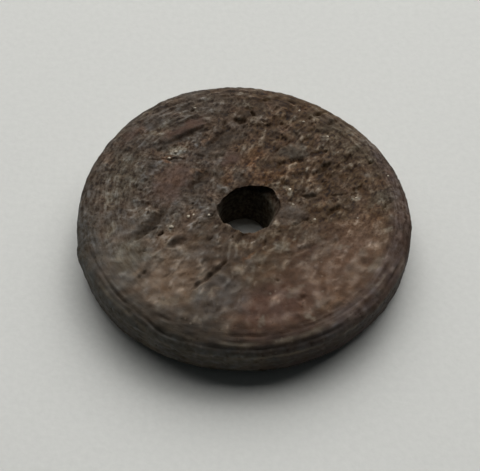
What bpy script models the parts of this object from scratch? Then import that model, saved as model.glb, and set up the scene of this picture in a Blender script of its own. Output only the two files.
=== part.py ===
"""Pierced bone disc: a thick disc turned from one piece of bone, with a flat face, a shoulder
with turned grooves round it, an upright wall, a rounded foot and one worn hole drilled a little
out of true. Metres, +Z up. The underside lies on z = 0, with the middle of the worn outline's
box over the origin."""

import math
from collections import namedtuple

import bmesh
import bpy
from mathutils import Matrix, Vector

# Driving dimensions of the turned disc, in metres
DIAMETER = 0.0420
THICKNESS = 0.0060
SHOULDER_WIDTH = 0.0023
SHOULDER_DROP = 0.0018
FOOT_ROUNDING = 0.0019

# Wear of the outline, in metres each way from a true circle
OVAL_WEAR = 0.00028
OVAL_DIRECTION = math.radians(-60)
THREE_SIDED_WEAR = 0.00028
THREE_SIDED_DIRECTION = math.radians(-15)
FOUR_SIDED_WEAR = 0.00007
FOUR_SIDED_DIRECTION = math.radians(25)

# Turned grooves: how far each lies in from the rim, its width and its depth, in metres
FACE_GROOVE_INSET = 0.00245
FACE_GROOVE_WIDTH = 0.00070
FACE_GROOVE_DEPTH = 0.00022
SHOULDER_GROOVE_INSET = 0.00095
SHOULDER_GROOVE_WIDTH = 0.00060
SHOULDER_GROOVE_DEPTH = 0.00032
# On the left the shoulder groove wanders in towards the face
GROOVE_WANDER = 0.00065
# Each groove is worn away outside a stretch of the near rim: the stretch's start and end, and
# the fade past them, in degrees
FACE_GROOVE_STRETCH = (-112, -58, 14)
SHOULDER_GROOVE_STRETCH = (-160, -60, 14)
WANDER_STRETCH = (-168, -138, 18)
WORN_GROOVE_SHARE = 0.25

# The hole, drilled from the top face and leaning to the right and away. Places are from the
# axis that the disc was turned on
HOLE_FOOT_DIAMETER = 0.0060
HOLE_THROAT_DIAMETER = 0.0070
HOLE_LEAN = math.radians(7.0)
HOLE_LEAN_DIRECTION = math.radians(50.0)
HOLE_FOOT_X = 0.0001
HOLE_FOOT_Y = -0.00055
# The lip is worn into a shallow bowl, and the foot has a narrow one
LIP_BOWL_DIAMETER = 0.0078
LIP_BOWL_DEPTH = 0.0016
LIP_BOWL_X = 0.0007
LIP_BOWL_Y = 0.0002
FOOT_BOWL_DIAMETER = 0.0068
FOOT_BOWL_DEPTH = 0.0004

# How finely the round shapes are faceted
TURN_STEPS = 96
ARC_STEPS = 4
SHOULDER_STEPS = (0.75, 0.58, 0.14, 0.04, 0.0)
HOLE_STEPS = 32
BOWL_RINGS = 12
GOUGE_SEGMENTS = 14
GOUGE_RINGS = 8

RADIUS = DIAMETER / 2
MERGE_DISTANCE = 0.00001
BONE_COLOUR = (0.076, 0.058, 0.043, 1.0)
BONE_ROUGHNESS = 0.75

# A gouge or dish in a face: its middle as shares of the radius, then its length, width and depth
# in metres, and the direction that it runs in degrees. The long ones follow the bone's grain.
Gouge = namedtuple("Gouge", "name x y length width depth direction")

TOP_GOUGES = (
    Gouge("long_slit", -0.20, -0.49, 0.0058, 0.00080, 0.00070, 48),
    Gouge("left_hollow", -0.54, -0.13, 0.0065, 0.00180, 0.00060, 50),
    Gouge("middle_pit", -0.38, -0.26, 0.0028, 0.00110, 0.00060, 30),
    Gouge("small_left_pit", -0.48, -0.19, 0.0011, 0.00060, 0.00050, 30),
    Gouge("outer_left_pit", -0.57, -0.48, 0.0014, 0.00070, 0.00045, 55),
    Gouge("step_line", -0.36, 0.56, 0.0078, 0.00080, 0.00030, 33),
    Gouge("cross_crack", -0.45, 0.37, 0.0060, 0.00050, 0.00035, 3),
    Gouge("inner_hollow", -0.27, 0.20, 0.0044, 0.00180, 0.00045, 55),
    Gouge("far_pit", -0.11, 0.63, 0.0015, 0.00080, 0.00050, 80),
    Gouge("far_edge_pits", 0.05, 0.76, 0.0020, 0.00090, 0.00060, -50),
    Gouge("far_rim_pit", 0.16, 0.86, 0.0014, 0.00080, 0.00050, 15),
    Gouge("diagonal_line", 0.23, 0.46, 0.0036, 0.00060, 0.00035, 42),
    Gouge("behind_hole_pit", 0.23, 0.32, 0.0018, 0.00110, 0.00045, 40),
    Gouge("right_of_hole", 0.40, 0.09, 0.0022, 0.00070, 0.00055, 0),
    Gouge("right_hollow", 0.49, 0.30, 0.0030, 0.00110, 0.00050, 45),
    Gouge("outer_right_pit", 0.68, 0.13, 0.0025, 0.00080, 0.00050, 50),
    Gouge("rim_line", 0.85, 0.01, 0.0028, 0.00055, 0.00035, 50),
    Gouge("rim_crack", 0.50, 0.74, 0.0028, 0.00055, 0.00040, 30),
    Gouge("near_right_hollow", 0.33, -0.65, 0.0016, 0.00090, 0.00035, 35),
    Gouge("below_hole_pit", -0.06, -0.23, 0.0012, 0.00060, 0.00045, 70),
    Gouge("near_edge_chip", -0.38, -0.78, 0.0038, 0.00100, 0.00035, -8),
)
UNDERSIDE_GOUGES = (
    Gouge("under_slit", 0.330, -0.350, 0.0052, 0.00080, 0.00050, 43),
    Gouge("under_hollow", -0.420, 0.300, 0.0060, 0.00180, 0.00035, 40),
    Gouge("under_pit", 0.100, 0.610, 0.0022, 0.00100, 0.00045, 46),
    Gouge("under_edge_pit", -0.240, -0.640, 0.0018, 0.00090, 0.00045, 38),
)


def smooth_step(low, high, value):
    """0 below low, 1 above high and an S-shaped rise between; low may be the larger."""
    share = min(1.0, max(0.0, (value - low) / (high - low)))
    return share * share * (3 - 2 * share)


def along_stretch(angle, stretch):
    """1 where a direction lies in a stretch of the rim, falling to 0 over the stretch's fade."""
    start, end, fade = stretch
    middle = (start + end) / 2
    half = (end - start) / 2
    away = abs((math.degrees(angle) - middle + 180) % 360 - 180)
    return smooth_step(half + fade, half, away)


def outline_radius(angle):
    """The worn rim's radius in one direction."""
    oval = OVAL_WEAR * math.cos(2 * (angle - OVAL_DIRECTION))
    three_sided = THREE_SIDED_WEAR * math.cos(3 * (angle - THREE_SIDED_DIRECTION))
    four_sided = FOUR_SIDED_WEAR * math.cos(4 * (angle - FOUR_SIDED_DIRECTION))
    return RADIUS + oval + three_sided + four_sided


def outline_middle():
    """The middle of the worn outline's box, seen from above."""
    turns = [math.radians(360) * step / TURN_STEPS for step in range(TURN_STEPS)]
    across = [outline_radius(turn) * math.cos(turn) for turn in turns]
    along = [outline_radius(turn) * math.sin(turn) for turn in turns]
    return Vector(((min(across) + max(across)) / 2, (min(along) + max(along)) / 2, 0.0))


def tent(value, middle, width, height):
    """A triangular cross-section: height at its middle and 0 at half its width to either side."""
    return height * max(0.0, 1 - abs(value - middle) / (width / 2))


def face_groove(inset):
    return tent(inset, FACE_GROOVE_INSET, FACE_GROOVE_WIDTH, FACE_GROOVE_DEPTH)


def shoulder_groove(inset):
    return tent(inset, SHOULDER_GROOVE_INSET, SHOULDER_GROOVE_WIDTH, SHOULDER_GROOVE_DEPTH)


def shoulder_height(inset):
    """The plain shoulder's height at a distance in from the rim: a quarter of an ellipse."""
    along = min(1.0, max(0.0, 1 - inset / SHOULDER_WIDTH))
    return THICKNESS - SHOULDER_DROP * (1 - math.sqrt(1 - along * along))


def groove_edges(inset, width):
    return inset + width / 2, inset, inset - width / 2


def disc_profile():
    """Half the disc's cross-section as (radius, height) pairs, from the middle of the top face
    down the outer side to the middle of the underside."""
    insets = [
        *groove_edges(FACE_GROOVE_INSET, FACE_GROOVE_WIDTH),
        *groove_edges(SHOULDER_GROOVE_INSET, SHOULDER_GROOVE_WIDTH),
    ]
    insets += [SHOULDER_WIDTH * share for share in SHOULDER_STEPS]
    points = [(0.0, THICKNESS)]
    for inset in sorted(insets, reverse=True):
        height = shoulder_height(inset) - face_groove(inset) - shoulder_groove(inset)
        points.append((RADIUS - inset, height))
    wall_middle = (THICKNESS - SHOULDER_DROP + FOOT_ROUNDING) / 2
    points.append((RADIUS, wall_middle))
    for step in range(ARC_STEPS + 1):
        turn = math.radians(90) * step / ARC_STEPS
        round_in = FOOT_ROUNDING * (1 - math.cos(turn))
        points.append((RADIUS - round_in, FOOT_ROUNDING * (1 - math.sin(turn))))
    points.append((0.0, 0.0))
    return points


def new_collection(name):
    collection = bpy.data.collections.new(name)
    bpy.context.scene.collection.children.link(collection)
    return collection


def turned_mesh(name, profile, steps):
    """The mesh of a closed profile, given as (radius, height) pairs, turned round Z."""
    line = bpy.data.meshes.new(name + "_profile")
    corners = [(radius, 0.0, height) for radius, height in profile]
    line.from_pydata(corners, [(i, i + 1) for i in range(len(corners) - 1)], [])
    turned = bpy.data.objects.new(name + "_turned", line)
    bpy.context.scene.collection.objects.link(turned)
    screw = turned.modifiers.new("Turn", "SCREW")
    screw.axis = "Z"
    screw.angle = math.radians(360)
    screw.steps = steps
    screw.render_steps = steps
    screw.use_merge_vertices = True
    screw.merge_threshold = MERGE_DISTANCE
    graph = bpy.context.evaluated_depsgraph_get()
    mesh = bpy.data.meshes.new_from_object(turned.evaluated_get(graph))
    mesh.name = name
    bpy.data.objects.remove(turned)
    bpy.data.meshes.remove(line)
    return mesh


def wear_turned_disc(mesh):
    """Brings the true turned disc to its worn outline, and fades its grooves round the rim."""
    wander_reach = SHOULDER_GROOVE_INSET + SHOULDER_GROOVE_WIDTH
    for vertex in mesh.vertices:
        x, y, height = vertex.co
        radius = math.hypot(x, y)
        if radius < MERGE_DISTANCE:
            continue
        angle = math.atan2(y, x)
        inset = RADIUS - radius
        if height > THICKNESS - SHOULDER_DROP + MERGE_DISTANCE:
            face_worn = 1 - along_stretch(angle, FACE_GROOVE_STRETCH)
            shoulder_worn = 1 - along_stretch(angle, SHOULDER_GROOVE_STRETCH)
            height += face_groove(inset) * face_worn
            height += shoulder_groove(inset) * shoulder_worn * (1 - WORN_GROOVE_SHARE)
            wander = GROOVE_WANDER * along_stretch(angle, WANDER_STRETCH)
            inset += wander * max(0.0, 1 - abs(inset - SHOULDER_GROOVE_INSET) / wander_reach)
            height += shoulder_height(inset) - shoulder_height(RADIUS - radius)
        radius = (RADIUS - inset) * outline_radius(angle) / RADIUS
        vertex.co = (radius * math.cos(angle), radius * math.sin(angle), height)


def hidden_cutter(name, mesh, collection):
    cutter = bpy.data.objects.new(name, mesh)
    collection.objects.link(cutter)
    cutter.hide_render = True
    cutter.display_type = "WIRE"


def drill_cutter(collection):
    """The drill: narrow at the foot of the hole, wider at the throat, and tilted about its foot."""
    foot = HOLE_FOOT_DIAMETER / 2
    throat = HOLE_THROAT_DIAMETER / 2
    widening = (throat - foot) / THICKNESS
    reach = THICKNESS * 0.5
    profile = [
        (0.0, THICKNESS + reach),
        (throat + widening * reach, THICKNESS + reach),
        (foot, 0.0),
        (foot, -reach),
        (0.0, -reach),
    ]
    mesh = turned_mesh("drill", profile, HOLE_STEPS)
    lean_axis = Vector((-math.sin(HOLE_LEAN_DIRECTION), math.cos(HOLE_LEAN_DIRECTION), 0.0))
    lean = Matrix.Rotation(HOLE_LEAN, 4, lean_axis)
    mesh.transform(Matrix.Translation((HOLE_FOOT_X, HOLE_FOOT_Y, 0.0)) @ lean)
    hidden_cutter("drill", mesh, collection)


def bowl_mesh(name, length, width, depth, outward, segments, rings):
    """A flattened ball that cuts a bowl of the given size and depth into a face at the origin.
    The ball reaches twice as deep as the bowl, and is lifted out by half of that, so that the
    bowl's sides slope."""
    share_at_face = math.sqrt(1 - 0.5 * 0.5)
    half_sizes = (length / 2 / share_at_face, width / 2 / share_at_face, depth * 2)
    ball = bmesh.new()
    bmesh.ops.create_uvsphere(ball, u_segments=segments, v_segments=rings, radius=1.0)
    bmesh.ops.scale(ball, vec=half_sizes, verts=ball.verts)
    bmesh.ops.translate(ball, vec=outward * depth, verts=ball.verts)
    mesh = bpy.data.meshes.new(name)
    ball.to_mesh(mesh)
    ball.free()
    return mesh


def hole_bowl(name, middle, diameter, depth, outward, collection):
    mesh = bowl_mesh(name, diameter, diameter, depth, outward, HOLE_STEPS, BOWL_RINGS)
    mesh.transform(Matrix.Translation(middle))
    hidden_cutter(name, mesh, collection)


def gouge_cutter(gouge, face_height, outward, collection):
    mesh = bowl_mesh(gouge.name, gouge.length, gouge.width, gouge.depth, outward,
                     GOUGE_SEGMENTS, GOUGE_RINGS)
    along_grain = Matrix.Rotation(math.radians(gouge.direction), 4, "Z")
    middle = Matrix.Translation((gouge.x * RADIUS, gouge.y * RADIUS, face_height))
    mesh.transform(middle @ along_grain)
    hidden_cutter(gouge.name, mesh, collection)


def make_cutters(collection):
    up = Vector((0.0, 0.0, 1.0))
    drill_cutter(collection)
    lip = Vector((LIP_BOWL_X, LIP_BOWL_Y, THICKNESS))
    hole_bowl("lip_bowl", lip, LIP_BOWL_DIAMETER, LIP_BOWL_DEPTH, up, collection)
    foot = Vector((HOLE_FOOT_X, HOLE_FOOT_Y, 0.0))
    hole_bowl("foot_bowl", foot, FOOT_BOWL_DIAMETER, FOOT_BOWL_DEPTH, -up, collection)
    for gouge in TOP_GOUGES:
        gouge_cutter(gouge, THICKNESS, up, collection)
    for gouge in UNDERSIDE_GOUGES:
        gouge_cutter(gouge, 0.0, -up, collection)


def bone_material():
    material = bpy.data.materials.new("dark_worn_bone")
    material.use_nodes = True
    shader = material.node_tree.nodes["Principled BSDF"]
    shader.inputs["Base Color"].default_value = BONE_COLOUR
    shader.inputs["Roughness"].default_value = BONE_ROUGHNESS
    shader.inputs["Metallic"].default_value = 0.0
    return material


def make_disc(collection, cutters):
    mesh = turned_mesh("pierced_disc", disc_profile(), TURN_STEPS)
    wear_turned_disc(mesh)
    mesh.materials.append(bone_material())
    mesh.shade_smooth()
    mesh.set_sharp_from_angle(angle=math.radians(35))
    disc = bpy.data.objects.new("pierced_disc", mesh)
    collection.objects.link(disc)
    carve = disc.modifiers.new("Carve", "BOOLEAN")
    carve.operation = "DIFFERENCE"
    carve.solver = "EXACT"
    carve.operand_type = "COLLECTION"
    carve.collection = cutters


def main():
    for old in list(bpy.context.scene.objects):
        bpy.data.objects.remove(old)
    parts = new_collection("pierced_bone_disc")
    cutters = new_collection("cutters")
    make_cutters(cutters)
    make_disc(parts, cutters)
    to_origin = Matrix.Translation(-outline_middle())
    for piece in (*parts.objects, *cutters.objects):
        piece.data.transform(to_origin)


main()
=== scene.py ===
"""Pierced bone disc: a thick disc turned from one piece of bone, drilled, then worn and darkened in
the soil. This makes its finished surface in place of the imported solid, a pale floor and soft light.
Shapes are worked out in millimetres from the axis that the disc was turned on. X runs to the right
in the photograph and Y to its back, and directions are in degrees from X towards Y."""

import math
from collections import namedtuple

import bmesh
import bpy
import numpy as np
from bpy.props import FloatProperty, FloatVectorProperty, IntProperty, PointerProperty
from mathutils import Matrix, Vector, noise


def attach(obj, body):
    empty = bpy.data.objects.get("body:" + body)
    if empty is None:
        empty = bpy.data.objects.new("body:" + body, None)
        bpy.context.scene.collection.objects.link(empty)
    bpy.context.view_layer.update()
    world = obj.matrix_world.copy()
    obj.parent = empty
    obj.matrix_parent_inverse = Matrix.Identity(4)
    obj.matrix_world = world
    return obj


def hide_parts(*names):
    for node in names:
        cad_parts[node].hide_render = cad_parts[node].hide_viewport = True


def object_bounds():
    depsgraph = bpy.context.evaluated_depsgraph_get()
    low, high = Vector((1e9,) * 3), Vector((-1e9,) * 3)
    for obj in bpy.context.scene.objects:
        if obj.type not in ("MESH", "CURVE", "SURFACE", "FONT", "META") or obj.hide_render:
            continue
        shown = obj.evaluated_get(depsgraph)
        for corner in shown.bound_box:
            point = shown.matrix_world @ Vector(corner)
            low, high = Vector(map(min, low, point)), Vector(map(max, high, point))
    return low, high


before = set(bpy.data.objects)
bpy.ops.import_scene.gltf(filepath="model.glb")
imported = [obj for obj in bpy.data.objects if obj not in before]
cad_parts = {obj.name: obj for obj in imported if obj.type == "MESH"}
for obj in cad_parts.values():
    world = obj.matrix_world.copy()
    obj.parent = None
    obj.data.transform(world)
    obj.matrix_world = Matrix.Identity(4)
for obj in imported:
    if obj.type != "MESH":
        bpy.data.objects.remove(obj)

bl_info = {
    "name": "Pierced Bone Disc",
    "version": (1, 0, 0),
    "blender": (4, 5, 0),
    "location": "3D View > Sidebar > Bone Disc",
    "description": "Makes a worn, turned disc of dark bone with a drilled hole",
    "category": "Add Mesh",
}

CAD_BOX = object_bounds()
MM = 0.001

# Wear of the outline: how many high places go round, how far they stand out in mm and the
# direction of the first
OUTLINE_WEAR = (
    (2, 0.28, -60),
    (3, 0.28, -15),
    (4, 0.07, 25),
)

# The step in which the outline is gone round to find its box
OUTLINE_STEP = 3.75

# Small bumps of the outline and of the hole's mouth: how far they stand out in mm, how many there
# are to a radian, and a seed. The outline is drawn in, in mm, so that its bumps stay in the box.
OUTLINE_BUMPS = ((0.035, 9.0, 65), (0.040, 22.0, 66))
MOUTH_BUMPS = ((0.16, 2.0, 14), (0.08, 6.0, 15))
OUTLINE_DRAWN_IN = 0.03

# Directions round the disc, and how far in from the rim the flat face ends there in mm
FACE_EDGE = (
    (-180, 2.4), (-160, 2.6), (-135, 1.8), (-90, 2.4), (-60, 2.3), (-30, 1.7), (0, 2.0), (90, 1.9),
)

# The worn mouth of the hole about its own middle: directions and the radius there in mm
MOUTH_EDGE = (
    (-180, 3.7), (-135, 3.7), (-90, 3.8), (-60, 3.9), (-25, 3.9), (10, 4.1), (40, 4.2), (70, 3.5),
    (100, 3.2), (120, 3.0), (140, 3.0), (160, 3.4),
)

# The hole: where its foot is, which way it leans, and the flare at its foot and the lip at its
# mouth, in mm
HOLE_FOOT = (0.10, -0.55)
HOLE_LEANS_TO = 50
FLARE_WIDTH, FLARE_HEIGHT = 0.40, 0.35
LIP_WIDTH, LIP_HEIGHT = 0.40, 0.70

# How many rings each stretch of the disc's section has
RING_COUNTS = {
    "flare": 3, "hole": 12, "lip": 6, "inner face": 37, "outer face": 48, "shoulder": 18,
    "wall": 12, "foot": 11, "underside": 28,
}

# The skin is spun in these steps, and in twice as many past a radius in mm
INNER_STEPS = 360
MIDDLE_RING = 10.5

# The knob on the left of the wall: its direction, and its height in mm
KNOB_DIRECTION = -163
KNOB_HEIGHT = 3.8

# The height in mm of the near corner between shoulder and wall, which is painted pale as a highlight
CORNER_HEIGHT = 4.15

# The turner's groove: how far in from the rim it runs in front, how much further at the left, and
# its width, in mm
GROOVE_INSET = 0.52
GROOVE_DRIFT = 0.85
GROOVE_WIDTH = 0.55

# A line along the shoulder: its depth in mm or its strength, how far in from the rim it runs and
# its width in mm, then where it starts, ends and fades in degrees
Line = namedtuple("Line", "amount inset width start end fade")
SECOND_GROOVE = Line(0.16, 2.05, 0.75, -102, -62, 12)
THIRD_GROOVE = Line(0.08, 1.60, 0.40, -62, -25, 12)
# The front ridge is painted pale as a highlight
FRONT_RIDGE = Line(0.90, 1.10, 0.90, -106, -64, 8)
DARK_LINE = Line(0.60, 2.30, 1.50, -122, -78, 8)

# A stretch of the rim that looks unlike the rest: where it starts, ends and fades in degrees, then
# how far in from the rim it ends and how far in it is still whole, in mm
Stretch = namedtuple("Stretch", "start end fade ends whole")
RINGED_LEFT = Stretch(120, 220, 30, 8.5, 5.5)
STREAKED_LEFT = Stretch(120, 215, 30, 9.0, 6.0)
NEAR_SHOULDER = Stretch(-80, 15, 40, 3.2, 1.6)
TURNED_SHOULDER = Stretch(-170, 0, 25, 3.4, 2.2)
# The right of the shoulder is painted lighter, a painted highlight
RIGHT_EDGE_HIGHLIGHT = Stretch(-60, -24, 12, 2.0, 1.0)
LEFT_EDGE = Stretch(-172, -100, 14, 3.6, 2.2)
WORN_EDGE = Stretch(-132, -66, 14, 4.0, 2.7)
FAR_EDGE = Stretch(20, 190, 20, 1.2, 0.2)

# Radii in mm of the circles that noise is read on: the smaller, the more it is drawn out
SHOULDER_CIRCLE = 14.0
WALL_CIRCLE = 12.0
STREAK_CIRCLE = 4.5

# How far each seed moves along the noise on each axis, in cells, and what brings it to -1 to 1
NOISE_SHIFT = (17.3, -9.1, 5.7)
NOISE_GAIN = 1.6

# How far a lighter or darker tone moves red, green and blue: dried skin is greyer, soil is browner
TONE_SPREAD = (0.80, 1.0, 1.25)

# How much of its cover each small place of dust keeps
DUST_STRENGTH = 0.85

# A soft light: the direction and elevation that it comes from, its size in metres and its power.
# Together they stand for a wide window behind the disc and the bright wall over it.
Light = namedtuple("Light", "name direction elevation width height watts")
LIGHTS = (
    Light("window_right", 55.0, 36.0, 1.1, 0.8, 7.5),
    Light("window_middle", 90.0, 38.0, 1.1, 0.8, 9.7),
    Light("window_left", 130.0, 34.0, 1.1, 0.8, 3.3),
    Light("upper_wall", 90.0, 66.0, 1.4, 0.5, 4.2),
)
LIGHT_DISTANCE = 1.30
ROOM_COLOUR = "#d6e4ea"
ROOM_STRENGTH = 0.030

# The photograph's view: its angle above the floor, how far it is from the middle of the disc and
# how far it stands to the left, in metres, and its lens in mm
VIEW_ELEVATION = math.radians(53.45)
VIEW_DISTANCE = 0.168
VIEW_LEFT = 0.00028
VIEW_LENS = 98.9

# A mark in the face: where its middle is, its length, width and depth in mm, the direction that it
# runs in, and how far its deepest line leans to its right, from -1 to 1
Mark = namedtuple("Mark", "x y length width depth direction lean", defaults=[0.0])

# The long ledge in the upper left: the ground on the right of its line is the lower
LEDGE = Mark(-7.9, 11.4, 9.2, 2.6, 0.22, 36)

# Long marks follow the grain of the bone, which runs from lower left to upper right
FACE_MARKS = (
    # Upper left
    Mark(-7.4, 11.9, 7.4, 0.80, 0.36, 33),
    Mark(-9.4, 13.1, 2.8, 0.45, 0.25, 38),
    Mark(-9.5, 7.7, 6.0, 0.36, 0.40, 3),
    Mark(-10.4, 9.8, 2.0, 1.20, 0.28, 55),
    Mark(-11.0, 13.6, 2.8, 0.70, 0.20, 62),
    Mark(-6.6, 16.0, 0.7, 0.50, 0.50, 20),
    Mark(-4.9, 10.0, 1.4, 0.45, 0.40, 10),
    Mark(-5.2, 8.3, 1.2, 0.45, 0.35, 0),
    Mark(-3.4, 11.2, 4.6, 0.80, 0.28, 48, 0.2),
    Mark(-3.2, 8.3, 2.2, 0.70, 0.25, 10),
    Mark(-5.5, 4.4, 4.6, 2.00, 0.38, 52, -0.5),
    Mark(-2.7, 6.3, 1.4, 0.40, 0.25, 0),
    Mark(-13.4, 3.2, 1.5, 0.60, 0.26, 50),
    Mark(-12.1, 4.3, 1.6, 0.60, 0.18, 30),
    Mark(-16.9, 5.4, 2.4, 0.45, 0.18, 75),
    Mark(-2.3, 13.5, 1.8, 0.80, 0.42, 80),
    Mark(-0.3, 14.3, 1.8, 1.20, 0.40, 0),
    # Upper right
    Mark(0.9, 16.3, 1.2, 0.80, 0.46, 10),
    Mark(1.4, 15.4, 1.2, 0.60, 0.50, -60),
    Mark(3.3, 17.9, 1.3, 0.80, 0.40, 15),
    Mark(6.4, 17.6, 1.8, 0.70, 0.34, -50),
    Mark(2.8, 14.1, 0.6, 0.45, 0.40, 0),
    Mark(5.2, 13.8, 0.6, 0.45, 0.40, 0),
    Mark(4.8, 11.4, 1.6, 0.90, 0.30, 50),
    Mark(4.9, 9.7, 3.7, 0.50, 0.35, 42),
    Mark(2.4, 7.8, 1.8, 0.70, 0.20, 40),
    Mark(6.8, 7.5, 2.2, 0.90, 0.26, 8),
    Mark(4.8, 6.8, 1.8, 1.10, 0.40, 40),
    Mark(10.3, 6.3, 3.0, 1.10, 0.50, 45, 0.3),
    Mark(14.3, 2.7, 2.5, 0.90, 0.38, 50),
    Mark(12.2, 2.0, 2.6, 0.50, 0.18, 12),
    Mark(8.4, 1.8, 2.4, 0.95, 0.44, 2),
    Mark(16.4, 7.3, 1.4, 0.70, 0.50, 48),
    Mark(10.3, 15.7, 3.0, 0.60, 0.60, 32),
    Mark(11.8, 14.0, 2.0, 0.90, 0.40, 42),
    Mark(9.0, 9.9, 1.8, 0.70, 0.25, 70),
    Mark(8.8, 14.6, 0.6, 0.50, 0.40, 0),
    Mark(17.9, 0.3, 2.8, 0.40, 0.40, 50),
    # Lower left
    Mark(-4.0, -10.3, 7.4, 0.80, 0.42, 45, 0.4),
    Mark(-11.5, -2.8, 6.4, 2.00, 0.36, 51, 0.75),
    Mark(-8.0, -5.4, 3.2, 1.50, 0.28, 30, 0.2),
    Mark(-10.0, -4.1, 1.1, 0.60, 0.50, 30),
    Mark(-11.8, -6.5, 1.1, 0.60, 0.35, 60),
    Mark(-11.7, -9.8, 1.0, 0.60, 0.32, 50),
    Mark(-12.2, -10.5, 0.9, 0.50, 0.26, 50),
    Mark(-7.2, -10.3, 1.6, 0.50, 0.16, 30),
    Mark(-1.3, -4.8, 1.2, 0.60, 0.45, 70),
    Mark(-4.6, -8.2, 0.8, 0.50, 0.14, 60),
    Mark(-16.3, -5.5, 1.8, 0.50, 0.18, 50),
    Mark(-8.0, -16.4, 4.4, 1.20, 0.18, -12, 0.5),
    # Lower right
    Mark(11.3, -0.5, 2.8, 0.80, 0.28, 42),
    Mark(8.0, -1.9, 0.9, 0.50, 0.40, 30),
    Mark(6.9, -2.4, 2.4, 0.50, 0.22, 32),
    Mark(4.4, -4.0, 1.0, 0.70, 0.22, 30),
    Mark(11.8, -4.9, 3.0, 0.80, 0.18, 42),
    Mark(7.6, -6.2, 6.0, 1.30, 0.16, 27, 0.5),
    Mark(4.2, -11.0, 0.6, 0.50, 0.24, 0),
    Mark(6.9, -13.6, 1.7, 0.85, 0.20, 35, 0.4),
    Mark(11.4, -14.6, 3.0, 0.35, 0.18, 38),
)

# Marks of the underside, which isn't seen: all are guessed
UNDERSIDE_MARKS = (
    Mark(6.9, -7.3, 5.4, 0.85, 0.50, 43, 0.2),
    Mark(-8.8, 6.3, 6.2, 1.90, 0.35, 40, 0.5),
    Mark(2.1, 12.8, 2.4, 1.00, 0.45, 46),
    Mark(-5.0, -13.4, 2.0, 0.90, 0.45, 38),
)

# A stain on the face: its middle, its reach along and across its direction in mm, that direction,
# the name of its colour and how much of the bone's own colour it covers
Stain = namedtuple("Stain", "x y along across direction colour cover")

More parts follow.
